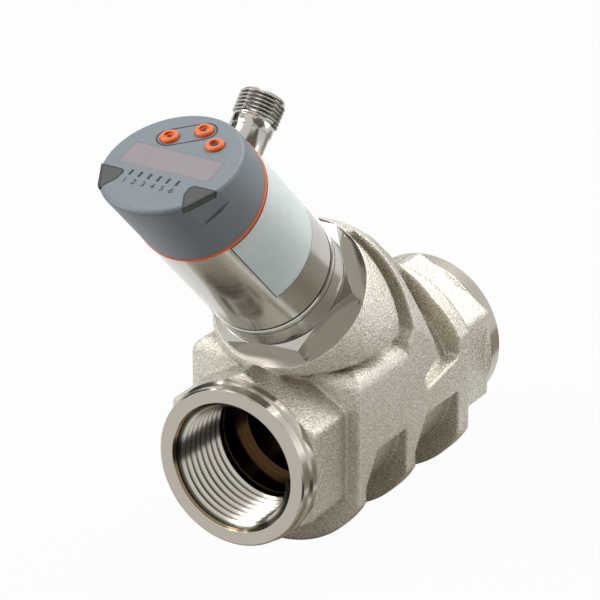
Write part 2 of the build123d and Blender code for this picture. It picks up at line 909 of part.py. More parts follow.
with BuildPart() as connector_shell:
    add(foot_blank.part)
    with BuildSketch(connector_section):
        with BuildLine():
            Polyline(
                (connector_foot, 0),
                (connector_foot, connector_barrel_r),
                (connector_ring_top - connector_ring_height, connector_barrel_r),
                (connector_ring_top - connector_ring_height, connector_ring_r),
                (connector_ring_top, connector_ring_r),
                (connector_ring_top, connector_barrel_r),
                (connector_thread_start, connector_barrel_r),
                (connector_thread_start, connector_thread_r),
                (connector_end - connector_thread_chamfer, connector_thread_r),
                (connector_end, connector_thread_r - connector_thread_chamfer),
                (connector_end, 0),
                close=True,
            )
        make_face()
    revolve(axis=connector_axis)
    with BuildSketch(connector_plane(connector_foot)):
        Circle(connector_bore_r)
    extrude(amount=connector_end - connector_foot, mode=Mode.SUBTRACT)

insert_top = connector_end - insert_depth
insert_bottom = insert_top - insert_length
with BuildPart() as connector_insert:
    with BuildSketch(connector_plane(insert_bottom)):
        Circle(connector_bore_r)
        with PolarLocations(pin_circle_r, pin_count, start_angle=45):
            Circle(pin_r, mode=Mode.SUBTRACT)
    extrude(amount=insert_length)

with BuildPart() as contact_pins:
    with BuildSketch(connector_plane(insert_bottom - pin_tail)):
        with PolarLocations(pin_circle_r, pin_count, start_angle=45):
            Circle(pin_r)
    extrude(amount=connector_end - pin_depth - insert_bottom + pin_tail)

# Blank label, a thin sheet wrapped round part of the tube

label_top = tube_end - label_edge_gap
label_span = label_end_angle - label_start_angle
with BuildPart() as label_plate:
    with BuildSketch(head_plane(label_top - label_height)):
        with BuildLine():
            outer = CenterArc((0, 0), head_r + label_thickness, label_start_angle, label_span)
            inner = CenterArc((0, 0), head_r, label_start_angle, label_span)
            Line(outer @ 0, inner @ 0)
            Line(outer @ 1, inner @ 1)
        make_face()
    extrude(amount=label_height)

# Files

pieces = {
    "measuring_body": measuring_body.part,
    "sensor_base": sensor_base.part,
    "base_seal": base_seal.part,
    "guide_tube": guide_tube.part,
    "sensing_board": sensing_board.part,
    "piston": piston.part,
    "piston_magnet": piston_magnet.part,
    "magnet_cap": magnet_cap.part,
    "return_spring": return_spring.part,
    "swivel_bush": swivel_bush.part,
    "swivel_seal": swivel_seal.part,
    "retaining_ring": retaining_ring.part,
    "housing_tube": housing_tube.part,
    "seal_ring": seal_ring.part,
    "display_cap": display_cap.part,
    "display_window": display_window.part,
    "lens_left": lens_left,
    "lens_right": lens_right,
    "indicator_bars": indicator_bars.part,
    "display_module": display_module.part,
    "display_board": display_board.part,
    "key_switches": key_switches.part,
    "main_board": main_board.part,
    "connector_shell": connector_shell.part,
    "connector_insert": connector_insert.part,
    "contact_pins": contact_pins.part,
    "label_plate": label_plate.part,
}
pieces.update(zip(button_names, buttons))
for name, piece in pieces.items():
    piece.label = name
    export_step(piece, f"parts/{name}.step")
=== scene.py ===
from math import atan2, cos, pi, radians, sin, sqrt

import bpy
from bpy.props import FloatProperty, FloatVectorProperty, IntProperty, PointerProperty
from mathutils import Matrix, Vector


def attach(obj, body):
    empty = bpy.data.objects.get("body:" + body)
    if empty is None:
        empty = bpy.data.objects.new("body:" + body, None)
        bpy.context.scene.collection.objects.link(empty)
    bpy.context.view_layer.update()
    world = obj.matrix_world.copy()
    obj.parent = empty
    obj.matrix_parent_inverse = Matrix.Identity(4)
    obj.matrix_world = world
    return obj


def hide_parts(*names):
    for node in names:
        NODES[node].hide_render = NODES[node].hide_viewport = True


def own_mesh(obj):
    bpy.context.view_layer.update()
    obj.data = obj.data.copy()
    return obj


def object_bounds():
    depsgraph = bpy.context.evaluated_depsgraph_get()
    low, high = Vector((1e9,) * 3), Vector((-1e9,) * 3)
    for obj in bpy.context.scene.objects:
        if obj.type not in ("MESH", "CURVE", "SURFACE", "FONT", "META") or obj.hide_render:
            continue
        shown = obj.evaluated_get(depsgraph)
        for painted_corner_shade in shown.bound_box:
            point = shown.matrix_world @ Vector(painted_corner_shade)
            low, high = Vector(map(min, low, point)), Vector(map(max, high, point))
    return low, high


bl_info = {
    "name": "Flow Sensor Detail",
    "version": (1, 0, 0),
    "blender": (4, 5, 0),
    "location": "View3D > Sidebar > Flow Sensor",
    "description": "Finishes, threads and face marks for an in-line flow sensor",
    "category": "Object",
}

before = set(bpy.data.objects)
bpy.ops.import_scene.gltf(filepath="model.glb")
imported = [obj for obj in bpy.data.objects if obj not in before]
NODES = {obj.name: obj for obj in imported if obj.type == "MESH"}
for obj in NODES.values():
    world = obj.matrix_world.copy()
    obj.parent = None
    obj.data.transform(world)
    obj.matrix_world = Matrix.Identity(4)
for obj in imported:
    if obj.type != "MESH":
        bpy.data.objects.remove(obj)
CAD_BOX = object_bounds()

# The branch leans towards the outlet at 45 degrees from this point on the pipe's axis
LEAN = sqrt(0.5)
BRANCH_ALONG_PIPE = 0.0648
BRANCH_FOOT = Vector((0.0, BRANCH_ALONG_PIPE, 0.0))
BRANCH_UP = Vector((0.0, -LEAN, LEAN))
CONNECTOR_OUT = Vector((0.0, LEAN, LEAN))
FACE_HEIGHT = 0.128
CONNECTOR_HEIGHT = 0.1003
FACE_CENTRE = BRANCH_FOOT + BRANCH_UP * FACE_HEIGHT
CONNECTOR_FOOT = BRANCH_FOOT + BRANCH_UP * CONNECTOR_HEIGHT
# Carries the connector's axis onto z once the shader has turned it upright
CONNECTOR_SHIFT = (0.0, -LEAN * (CONNECTOR_FOOT.y - CONNECTOR_FOOT.z), 0.0)
PIPE_LENGTH = 0.098

# Where the forging is turned smooth: spot face, port rings and bores
SPOT_FACE_HEIGHT = 0.05235
SPOT_FACE_R = 0.0209
PORT_RING_LENGTH = 0.0056
LARGEST_BORE_R = 0.01715

# Inner edges of the label's printed border, across and along the branch
LABEL_ACROSS = (-0.01078, 0.01573)
LABEL_ALONG = (0.0807, 0.1092)

# The operating face is level with X and leans back from the vertical by this turn
FACE_TURN = radians(45.0 - 28.8)
FACE_ACROSS = Vector((1.0, 0.0, 0.0))
FACE_UPHILL = Vector((0.0, cos(FACE_TURN), sin(FACE_TURN)))
FACE_OUT = Vector((0.0, -sin(FACE_TURN), cos(FACE_TURN)))

# Centres of the three buttons and of the row of digits, across and uphill on the face
DOWN_BUTTON = (-0.0058, 0.0089)
UP_BUTTON = (0.001, 0.0138)
SET_BUTTON = (0.0065, 0.0096)
DISH_HEIGHT = 0.00045
DIGIT_ROW = (-0.0009, -0.0091)
DIGIT_COUNT = 6
DIGIT_STEP = 0.0026


def face_spot(across, uphill, height=0.0):
    """A point on the operating face, in metres from its centre."""
    return FACE_CENTRE + FACE_ACROSS * across + FACE_UPHILL * uphill + FACE_OUT * height


def paint(red, green, blue):
    """Screen colour from 0 to 255, as the linear colour that shaders take."""
    def linear(value):
        value = value / 255
        return value / 12.92 if value <= 0.04045 else ((value + 0.055) / 1.055) ** 2.4

    return (linear(red), linear(green), linear(blue))


class FinishSettings(bpy.types.PropertyGroup):
    """Colours of the sensor's finishes."""

    forged_nickel: FloatVectorProperty(
        name="Forged nickel", description="Grainy plated brass of the body", subtype="COLOR",
        size=3, min=0.0, max=1.0, default=paint(208, 205, 196))
    machined_nickel: FloatVectorProperty(
        name="Machined nickel", description="Turned rings, bores and spot face", subtype="COLOR",
        size=3, min=0.0, max=1.0, default=paint(182, 175, 164))
    # Bore walls: a darker brass, partly their own tone and partly painted shade
    bore_brass_and_shade: FloatVectorProperty(
        name="Bare brass", description="Unplated walls inside the bores", subtype="COLOR",
        size=3, min=0.0, max=1.0, default=paint(132, 114, 88))
    polished_steel: FloatVectorProperty(
        name="Polished steel", description="Head tube, hexagon flange and connector",
        subtype="COLOR", size=3, min=0.0, max=1.0, default=paint(192, 189, 182))
    cap_grey: FloatVectorProperty(
        name="Cap grey", description="Moulded display cap", subtype="COLOR",
        size=3, min=0.0, max=1.0, default=paint(127, 137, 144))
    signal_orange: FloatVectorProperty(
        name="Signal orange", description="Ring buttons and sealing ring", subtype="COLOR",
        size=3, min=0.0, max=1.0, default=paint(250, 122, 56))
    window_brown: FloatVectorProperty(
        name="Window brown", description="Smoked display window", subtype="COLOR",
        size=3, min=0.0, max=1.0, default=paint(150, 142, 146))
    lens_smoke: FloatVectorProperty(
        name="Lens smoke", description="Clear tinted corner lenses", subtype="COLOR",
        size=3, min=0.0, max=1.0, default=paint(78, 81, 80))
    label_pale: FloatVectorProperty(
        name="Label pale", description="Blank label film", subtype="COLOR",
        size=3, min=0.0, max=1.0, default=paint(240, 253, 251))
    print_black: FloatVectorProperty(
        name="Print black", description="Marks printed on the face", subtype="COLOR",
        size=3, min=0.0, max=1.0, default=paint(34, 35, 38))


class DetailSettings(bpy.types.PropertyGroup):
    """Sizes of the details that the scene adds to the solids."""

    port_pitch: FloatProperty(
        name="Port thread pitch", description="Distance between ridges in the ports",
        default=0.002309, min=0.001, max=0.004, unit="LENGTH", precision=5)
    port_wall_r: FloatProperty(
        name="Port wall radius", description="Plain bore that carries the ridges",
        default=0.0166, min=0.01, max=0.03, unit="LENGTH", precision=5)
    port_ridge: FloatProperty(
        name="Port ridge height", description="How far a ridge stands in from the bore",
        default=0.00145, min=0.0005, max=0.002, unit="LENGTH", precision=5)
    port_turns: IntProperty(
        name="Port turns", description="Turns of the thread in each port", default=8, min=3, max=9)
    connector_pitch: FloatProperty(
        name="Connector pitch", description="Distance between the connector's ridges",
        default=0.001, min=0.0005, max=0.002, unit="LENGTH", precision=5)
    connector_turns: IntProperty(
        name="Connector turns", description="Turns of the connector's thread",
        default=6, min=3, max=7)
    connector_core_r: FloatProperty(
        name="Connector core radius", description="Radius at the roots of the connector's thread",
        default=0.00545, min=0.005, max=0.0058, unit="LENGTH", precision=5)
    connector_ridge: FloatProperty(
        name="Connector ridge height", description="How far a ridge stands out from the core",
        default=0.00053, min=0.0002, max=0.0006, unit="LENGTH", precision=5)
    spring_wire_r: FloatProperty(
        name="Spring wire radius", description="Radius of the return spring's wire",
        default=0.0006, min=0.0003, max=0.001, unit="LENGTH", precision=5)
    spring_mean_r: FloatProperty(
        name="Spring radius", description="Radius of the return spring at its wire's centre",
        default=0.0085, min=0.008, max=0.009, unit="LENGTH", precision=5)
    spring_turns: IntProperty(
        name="Spring turns", description="Turns of the return spring", default=6, min=3, max=8)
    print_height: FloatProperty(
        name="Print height", description="Thickness of the printed marks",
        default=0.00003, min=0.00001, max=0.0002, unit="LENGTH", precision=5)
    digit_size: FloatProperty(
        name="Digit size", description="Height of the digits under the bar indicators",
        default=0.0026, min=0.001, max=0.004, unit="LENGTH", precision=5)


class StageSettings(bpy.types.PropertyGroup):
    """Lamps, floor and camera."""

    key_power: FloatProperty(
        name="Key power", description="Large soft lamp on the right",
        default=2.6, min=0.0, max=60.0, unit="POWER")
    fill_power: FloatProperty(
        name="Fill power", description="Weak lamp on the left",
        default=4.0, min=0.0, max=60.0, unit="POWER")
    top_power: FloatProperty(
        name="Top power", description="Soft lamp overhead",
        default=6.5, min=0.0, max=60.0, unit="POWER")
    bore_power: FloatProperty(
        name="Bore power", description="Small lamp that shines into the outlet",
        default=3.6, min=0.0, max=60.0, unit="POWER")
    room_light: FloatProperty(
        name="Room light", description="Even light from all round", default=0.17, min=0.0, max=2.0)
    lens_length: FloatProperty(
        name="Camera lens", description="Focal length in millimetres", default=302.9, min=20.0)


# Working with shader nodes

def shader(name, colour, metallic, roughness):
    """A new node material. Gives the material, its node tree and its principled shader."""
    material = bpy.data.materials.new(name)
    material.use_nodes = True
    tree = material.node_tree
    body = tree.nodes["Principled BSDF"]
    body.inputs["Base Color"].default_value = (*colour, 1.0)
    body.inputs["Metallic"].default_value = metallic
    body.inputs["Roughness"].default_value = roughness
    material.diffuse_color = (*colour, 1.0)
    return material, tree, body


def node(tree, kind, settings=None, **sockets):
    """A node with its settings and the values of its named sockets."""
    made = tree.nodes.new(kind)
    for key, value in (settings or {}).items():
        setattr(made, key, value)
    for key, value in sockets.items():
        made.inputs[key.replace("_", " ")].default_value = value
    return made


def feed(tree, value, socket):
    """Sets a socket to a number or links it to an output."""
    if isinstance(value, float):
        socket.default_value = value
    else:
        tree.links.new(value, socket)


def math(tree, operation, first, second=0.0):
    """A math node on two numbers or outputs."""
    made = tree.nodes.new("ShaderNodeMath")
    made.operation = operation
    for socket, value in zip(made.inputs, (first, second)):
        feed(tree, value, socket)
    return made.outputs[0]


def length_of(tree, first, second):
    """Length of a flat vector with these two outputs as its sides."""
    return math(tree, "SQRT", math(tree, "ADD", math(tree, "MULTIPLY", first, first),
                                   math(tree, "MULTIPLY", second, second)))


def blend_colour(tree, factor, first, second):
    """A colour between two, by a factor output."""
    made = tree.nodes.new("ShaderNodeMix")
    made.data_type = "RGBA"
    tree.links.new(factor, made.inputs[0])
    for socket, value in ((made.inputs[6], first), (made.inputs[7], second)):
        if isinstance(value, tuple):
            socket.default_value = (*value, 1.0)
        else:
            tree.links.new(value, socket)
    return made.outputs[2]


def spread(tree, factor, low, high, start=0.35, end=0.65):
    """Maps a factor from start..end to low..high."""
    made = node(tree, "ShaderNodeMapRange", None,
                From_Min=start, From_Max=end, To_Min=low, To_Max=high)
    tree.links.new(factor, made.inputs["Value"])
    return made.outputs["Result"]


def place(tree):
    """Object coordinates, which are the frame's own since no piece is moved."""
    return node(tree, "ShaderNodeTexCoord").outputs["Object"]


def branch_place(tree):
    """Object coordinates turned so that z runs up the branch from its foot."""
    turned = node(tree, "ShaderNodeMapping", {"vector_type": "POINT"})
    turned.inputs["Rotation"].default_value = (-pi / 4, 0.0, 0.0)
    turned.inputs["Location"].default_value = (0.0, -LEAN * BRANCH_ALONG_PIPE,
                                              LEAN * BRANCH_ALONG_PIPE)
    tree.links.new(place(tree), turned.inputs["Vector"])
    return turned.outputs["Vector"]


def stretched(tree, vector, scale):
    """Coordinates scaled by a factor for each axis."""
    made = node(tree, "ShaderNodeMapping", {"vector_type": "POINT"})
    made.inputs["Scale"].default_value = scale
    tree.links.new(vector, made.inputs["Vector"])
    return made.outputs["Vector"]


def noise(tree, vector, scale, detail=3.0, roughness=0.55):
    """Grey noise at a scale per metre."""
    made = node(tree, "ShaderNodeTexNoise", None, Scale=scale, Detail=detail, Roughness=roughness)
    tree.links.new(vector, made.inputs["Vector"])
    return made.outputs["Fac"]


def relief(tree, body, height, strength, distance, edge=0.0002):
    """Bumps the shader's surface by a height output, with its edges softened."""
    bump = node(tree, "ShaderNodeBump", None, Distance=distance)
    feed(tree, strength, bump.inputs["Strength"])
    rounded = node(tree, "ShaderNodeBevel", {"samples": 4})
    feed(tree, edge, rounded.inputs["Radius"])
    tree.links.new(rounded.outputs["Normal"], bump.inputs["Normal"])
    tree.links.new(height, bump.inputs["Height"])
    tree.links.new(bump.outputs["Normal"], body.inputs["Normal"])


# The finishes

def near_edge(tree, radius, most):
    """Mask that rises to most where a sharp edge lies within the radius."""
    rounded = node(tree, "ShaderNodeBevel", {"samples": 4}, Radius=radius)
    straight = node(tree, "ShaderNodeNewGeometry")
    apart = node(tree, "ShaderNodeVectorMath", {"operation": "DOT_PRODUCT"})
    tree.links.new(rounded.outputs["Normal"], apart.inputs[0])
    tree.links.new(straight.outputs["Normal"], apart.inputs[1])
    return spread(tree, apart.outputs["Value"], most, 0.0, 0.93, 0.995)


def forged_body_finish(finish):
    """Grainy plated forging, turned smooth on the port rings, bores and spot face."""
    material, tree, body = shader("forged_nickel", finish.forged_nickel[:], 1.0, 0.4)
    at = place(tree)
    split = node(tree, "ShaderNodeSeparateXYZ")
    tree.links.new(at, split.inputs[0])
    pipe_radius = length_of(tree, split.outputs["X"], split.outputs["Z"])
    up_branch = node(tree, "ShaderNodeSeparateXYZ")
    tree.links.new(branch_place(tree), up_branch.inputs[0])
    branch_radius = length_of(tree, up_branch.outputs["X"], up_branch.outputs["Y"])
    spot = math(tree, "MULTIPLY",
                math(tree, "GREATER_THAN", up_branch.outputs["Z"], SPOT_FACE_HEIGHT),
                math(tree, "LESS_THAN", branch_radius, SPOT_FACE_R))
    rings = math(tree, "ADD", math(tree, "LESS_THAN", split.outputs["Y"], PORT_RING_LENGTH),
                 math(tree, "GREATER_THAN", split.outputs["Y"], PIPE_LENGTH - PORT_RING_LENGTH))
    bores = math(tree, "LESS_THAN", pipe_radius, LARGEST_BORE_R)
    turned = math(tree, "MINIMUM", math(tree, "ADD", math(tree, "ADD", spot, rings), bores), 1.0)

    # The cast skin: broad tones, bright specks, dark pits, sharp edges paled partly as rubbed wear
    # and partly as painted highlight, and hollows browned as painted shade
    tone = noise(tree, at, 55.0, 4.0)
    cast_colour = blend_colour(tree, spread(tree, tone, 0.0, 0.35),
                               finish.forged_nickel[:], paint(182, 170, 148))
    speck = noise(tree, at, 2300.0, 2.0, 0.7)
    cast_colour = blend_colour(tree, spread(tree, speck, 0.0, 0.6, 0.4, 0.65), cast_colour,
                               paint(232, 227, 214))
    pits = noise(tree, at, 1300.0, 2.0, 0.7)
    cast_colour = blend_colour(tree, spread(tree, pits, 0.3, 0.0, 0.3, 0.5), cast_colour,
                               paint(112, 102, 88))
    # Painted highlight, partly rubbed wear: the colour pales along sharp edges
    edge = near_edge(tree, 0.0012, 0.7)
    cast_colour = blend_colour(tree, edge, cast_colour, paint(238, 234, 222))
    # Painted shade: the colour turns brown where occlusion finds concave hollows
    open_sky = node(tree, "ShaderNodeAmbientOcclusion", {"samples": 6}, Distance=0.009)
    painted_corner_shade = spread(tree, open_sky.outputs["AO"], 0.42, 0.0, 0.2, 0.7)
    cast_colour = blend_colour(tree, painted_corner_shade, cast_colour, paint(132, 112, 84))
    # The bores take the darker brass, partly their own tone and partly painted shade
    turned_colour = blend_colour(tree, bores, finish.machined_nickel[:], finish.bore_brass_and_shade[:])
    colour = blend_colour(tree, turned, cast_colour, turned_colour)
    tree.links.new(colour, body.inputs["Base Color"])

    grain = noise(tree, at, 1700.0, 3.0, 0.7)
    cast = math(tree, "SUBTRACT", 1.0, turned)
    rough = math(tree, "ADD", math(tree, "MULTIPLY", cast, spread(tree, grain, 0.18, 0.32)),
                 math(tree, "MULTIPLY", turned, 0.17))
    tree.links.new(rough, body.inputs["Roughness"])
    relief(tree, body, grain, math(tree, "MULTIPLY", cast, 0.9), 0.00035,
           spread(tree, cast, 0.0002, 0.0012, 0.0, 1.0))
    return material


def turned_metal_finish(name, colour, roughness, tool_marks):
    """Turned metal with fine marks that run round the branch's axis."""
    material, tree, body = shader(name, colour, 1.0, roughness)
    marks = noise(tree, stretched(tree, branch_place(tree), (0.02, 0.02, 1.0)), 5200.0, 2.0)
    tone = noise(tree, branch_place(tree), 70.0, 2.0)
    tree.links.new(blend_colour(tree, spread(tree, tone, 0.0, 0.3), colour,
                                tuple(value * 0.72 for value in colour)),
                   body.inputs["Base Color"])
    tree.links.new(spread(tree, marks, roughness - 0.05, roughness + 0.07),
                   body.inputs["Roughness"])
    relief(tree, body, marks, tool_marks, 0.00003)
    return material


def thread_finish(name, colour, roughness, root_r, crest_r, turn, foot):
    """Thread whose colour darkens from crest_r to root_r as painted shade in the grooves, round
    the axis that turn and foot bring onto z."""
    material, tree, body = shader(name, colour, 1.0, roughness)
    turned = node(tree, "ShaderNodeMapping", {"vector_type": "POINT"})
    turned.inputs["Rotation"].default_value = (turn, 0.0, 0.0)
    turned.inputs["Location"].default_value = foot
    tree.links.new(place(tree), turned.inputs["Vector"])
    split = node(tree, "ShaderNodeSeparateXYZ")
    tree.links.new(turned.outputs["Vector"], split.inputs[0])
    radius = length_of(tree, split.outputs["X"], split.outputs["Y"])
    # Painted shade: the colour falls to 12 per cent towards the roots
    tree.links.new(blend_colour(tree, spread(tree, radius, 1.0, 0.0, root_r, crest_r), colour,
                                tuple(value * 0.12 for value in colour)),
                   body.inputs["Base Color"])
    marks = noise(tree, turned.outputs["Vector"], 2500.0, 2.0)
    relief(tree, body, marks, 0.15, 0.00003)
    return material


def moulded_finish(name, colour, roughness, grain_scale, grain):
    """Moulded plastic or rubber with a fine spark-eroded grain."""
    material, tree, body = shader(name, colour, 0.0, roughness)
    at = place(tree)
    tone = noise(tree, at, 160.0, 3.0)
    tree.links.new(blend_colour(tree, spread(tree, tone, 0.0, 0.35), colour,
                                tuple(value * 0.86 for value in colour)),
                   body.inputs["Base Color"])
    texture = noise(tree, at, grain_scale, 2.0)
    tree.links.new(spread(tree, texture, roughness - 0.06, roughness + 0.08),
                   body.inputs["Roughness"])
    relief(tree, body, texture, grain, 0.00012)
    return material


def clear_finish(name, colour, roughness, coat, edge):
    """Tinted clear plastic with a polished skin, darker along its edges."""
    material, tree, body = shader(name, colour, 0.0, roughness)
    body.inputs["Coat Weight"].default_value = coat
    body.inputs["Coat Roughness"].default_value = 0.04
    cloud = noise(tree, place(tree), 220.0, 2.0)
    clouded = blend_colour(tree, spread(tree, cloud, 0.0, 0.2), colour,
                           tuple(value * 0.8 for value in colour))
    tree.links.new(blend_colour(tree, near_edge(tree, 0.0013, edge), clouded, paint(8, 8, 9)),
                   body.inputs["Base Color"])
    return material


def label_finish(finish):
    """Pale film with a thin dark border printed along its edges."""
    material, tree, body = shader("label_film", finish.label_pale[:], 0.0, 0.42)
    split = node(tree, "ShaderNodeSeparateXYZ")
    tree.links.new(branch_place(tree), split.inputs[0])
    edges = math(tree, "ADD", math(tree, "LESS_THAN", split.outputs["Y"], LABEL_ACROSS[0]),
                 math(tree, "GREATER_THAN", split.outputs["Y"], LABEL_ACROSS[1]))
    ends = math(tree, "ADD", math(tree, "LESS_THAN", split.outputs["Z"], LABEL_ALONG[0]),
                math(tree, "GREATER_THAN", split.outputs["Z"], LABEL_ALONG[1]))
    border = math(tree, "MINIMUM", math(tree, "ADD", edges, ends), 1.0)
    mottle = noise(tree, place(tree), 90.0, 2.0)
    film = blend_colour(tree, spread(tree, mottle, 0.0, 0.2), finish.label_pale[:],
                        paint(186, 196, 200))
    tree.links.new(blend_colour(tree, border, film, paint(84, 88, 90)),
                   body.inputs["Base Color"])
    fibre = noise(tree, place(tree), 3000.0, 1.0)
    relief(tree, body, fibre, 0.06, 0.00005)
    return material


def board_finish():
    """Solder-masked board with copper tracks showing through as lighter green."""
    mask = paint(28, 82, 54)
    material, tree, body = shader("board_green", mask, 0.0, 0.35)
    tracks = node(tree, "ShaderNodeTexVoronoi", {"distance": "CHEBYCHEV"}, Scale=420.0)
    tree.links.new(place(tree), tracks.inputs["Vector"])
    tree.links.new(blend_colour(tree, math(tree, "GREATER_THAN", tracks.outputs["Distance"], 0.55),
                                mask, paint(58, 128, 84)), body.inputs["Base Color"])
    return material


# Working with pieces

def ready(obj, name, body, material):
    """Names a new piece, gives it its finish and lets it ride on its body."""
    bpy.ops.object.mode_set(mode="OBJECT")
    bpy.ops.object.transform_apply(location=True, rotation=True, scale=True)
    obj.name = name
    obj.data.name = name
    obj.data.materials.clear()
    obj.data.materials.append(material)
    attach(obj, body)
    bpy.ops.object.select_all(action="DESELECT")
    return obj


def shade(angle):
    """Smooths the active piece's faces that meet at less than an angle in degrees."""
    bpy.ops.object.mode_set(mode="OBJECT")
    bpy.ops.object.shade_smooth_by_angle(angle=radians(angle))


def outward():
    """Merges the active piece's doubled points and turns its faces outward."""
    bpy.ops.object.mode_set(mode="EDIT")
    bpy.ops.mesh.select_all(action="SELECT")
    bpy.ops.mesh.remove_doubles(threshold=1e-6)
    bpy.ops.mesh.normals_make_consistent(inside=False)
    bpy.ops.object.mode_set(mode="OBJECT")


def helix(centre_r, half_width, half_height, sides, pitch, turns, start, steps):
    """A closed coil round z, from a section with that many sides."""
    bpy.ops.object.select_all(action="DESELECT")
    bpy.ops.mesh.primitive_circle_add(
        vertices=sides, radius=1.0, fill_type="NOTHING", location=(centre_r, 0.0, start),
        rotation=(pi / 2, 0.0, 0.0))
    obj = bpy.context.object
    obj.scale = (half_width, half_height, 1.0)
    bpy.ops.object.transform_apply(location=True, rotation=True, scale=True)
    sweep = obj.modifiers.new("sweep", "SCREW")
    sweep.axis = "Z"
    sweep.angle = 2 * pi
    sweep.screw_offset = pitch
    sweep.iterations = turns
    sweep.steps = sweep.render_steps = steps
    sweep.use_merge_vertices = False
    bpy.ops.object.modifier_apply(modifier=sweep.name)
    bpy.ops.object.mode_set(mode="EDIT")
    bpy.ops.mesh.select_all(action="SELECT")
    bpy.ops.mesh.fill_holes(sides=sides)
    outward()
    shade(25.0)
    return obj


def thread_ridge(wall_r, ridge, pitch, turns, start, steps):
    """A ridge of diamond section that is half sunk in its wall."""
    return helix(wall_r, ridge, pitch * 0.47, 4, pitch, turns, start, steps)


def turned_shell(outline, vertices):
    """A closed shell round z: a circle extruded through the outline's heights and radii."""
    bpy.ops.object.select_all(action="DESELECT")
    height, radius = outline[0]
    bpy.ops.mesh.primitive_circle_add(vertices=vertices, radius=radius, fill_type="NOTHING",
                                      location=(0.0, 0.0, 0.0))
    obj = bpy.context.object
    bpy.ops.object.mode_set(mode="EDIT")
    bpy.ops.mesh.select_all(action="SELECT")
    bpy.ops.transform.translate(value=(0.0, 0.0, height))
    for next_height, next_radius in outline[1:] + outline[:1]:
        bpy.ops.mesh.extrude_region_move(
            TRANSFORM_OT_translate={"value": (0.0, 0.0, next_height - height)})
        grow = next_radius / radius
        bpy.ops.transform.resize(value=(grow, grow, 1.0), center_override=(0.0, 0.0, next_height))
        height, radius = next_height, next_radius
    outward()
    return obj


def set_on_face(obj, across, uphill, height):
    """Lays a piece that was made round z on a spot of the operating face."""
    obj.rotation_euler = (FACE_TURN, 0.0, 0.0)
    obj.location = face_spot(across, uphill, height)


# Operators, one for each piece or group of like pieces

class SENSOR_OT_port_threads(bpy.types.Operator):
    """Wind a pipe thread's ridge into both ports"""

    bl_idname = "sensor.port_threads"
    bl_label = "Port threads"

    def execute(self, context):
        detail = context.scene.sensor_detail
        material = thread_finish("port_thread", paint(190, 184, 172),
                                 0.16, 0.0162, 0.0157, pi / 2, (0.0, 0.0, 0.0))
        for name, turn, mouth in (("outlet_thread", -pi / 2, 0.0),
                                  ("inlet_thread", pi / 2, PIPE_LENGTH)):
            obj = thread_ridge(detail.port_wall_r, detail.port_ridge, detail.port_pitch,
                               detail.port_turns, detail.port_pitch * 0.6, 96)
            obj.rotation_euler = (turn, 0.0, 0.0)
            obj.location = (0.0, mouth, 0.0)
            ready(obj, name, "measuring_unit", material)
        return {"FINISHED"}


class SENSOR_OT_connector(bpy.types.Operator):
    """Model the connector's shell and thread, and finish its insert and pins"""

    bl_idname = "sensor.connector"
    bl_label = "Connector"

    def execute(self, context):
        detail = context.scene.sensor_detail
        finish = context.scene.sensor_finish
        bright = turned_metal_finish("bright_nickel", finish.polished_steel[:], 0.17, 0.12)
        core = detail.connector_core_r
        shell = turned_shell([
            (0.0125, 0.0043), (0.0125, 0.0063), (0.0140, 0.0063), (0.0140, 0.00515),
            (0.0221, 0.00515), (0.0221, 0.0054), (0.0244, 0.0054), (0.0244, 0.00515),
            (0.0247, 0.00515), (0.0250, core), (0.0313, core), (0.0317, 0.0050),
            (0.0317, 0.0044), (0.0315, 0.0043)], 96)
        bpy.ops.object.modifier_add(type="BEVEL")
        soft = shell.modifiers[-1]
        soft.width, soft.segments, soft.limit_method = 0.00006, 2, "ANGLE"
        bpy.ops.object.modifier_apply(modifier=soft.name)
        shade(40.0)
        shell.rotation_euler = (-pi / 4, 0.0, 0.0)
        shell.location = CONNECTOR_FOOT
        ready(shell, "connector_barrel", "head", bright)
        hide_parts("connector_shell")
        ridge = thread_ridge(core, detail.connector_ridge, detail.connector_pitch,
                             detail.connector_turns, 0.025, 64)
        ridge.rotation_euler = (-pi / 4, 0.0, 0.0)
        ridge.location = CONNECTOR_FOOT
        cut = thread_finish("connector_thread", finish.polished_steel[:], 0.14, core + 0.00008,
                            core + 0.0004, pi / 4, CONNECTOR_SHIFT)
        ready(ridge, "connector_thread", "head", cut)
        NODES["connector_insert"].data.materials.clear()
        NODES["connector_insert"].data.materials.append(
            moulded_finish("insert_black", paint(30, 30, 32), 0.5, 2500.0, 0.1))
        NODES["contact_pins"].data.materials.clear()
        NODES["contact_pins"].data.materials.append(
            turned_metal_finish("gold_contact", paint(226, 184, 100), 0.2, 0.05))
        return {"FINISHED"}


class SENSOR_OT_return_spring(bpy.types.Operator):
    """Wind the piston's return spring along the length of the solid spring it replaces"""

    bl_idname = "sensor.return_spring"
    bl_label = "Return spring"

    def execute(self, context):
        detail = context.scene.sensor_detail
        wire_r, turns = detail.spring_wire_r, detail.spring_turns
        along = [(vertex.co - BRANCH_FOOT).dot(BRANCH_UP)
                 for vertex in NODES["return_spring"].data.vertices]
        low, high = min(along), max(along)
        pitch = (high - low - 2 * wire_r) / turns
        obj = helix(detail.spring_mean_r, wire_r, wire_r, 12, pitch, turns, low + wire_r, 48)
        obj.rotation_euler = (pi / 4, 0.0, 0.0)
        obj.location = BRANCH_FOOT
        ready(obj, "compression_spring", "measuring_unit",
              turned_metal_finish("spring_wire", paint(150, 150, 150), 0.3, 0.05))
        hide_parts("return_spring")
        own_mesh(obj)
        return {"FINISHED"}


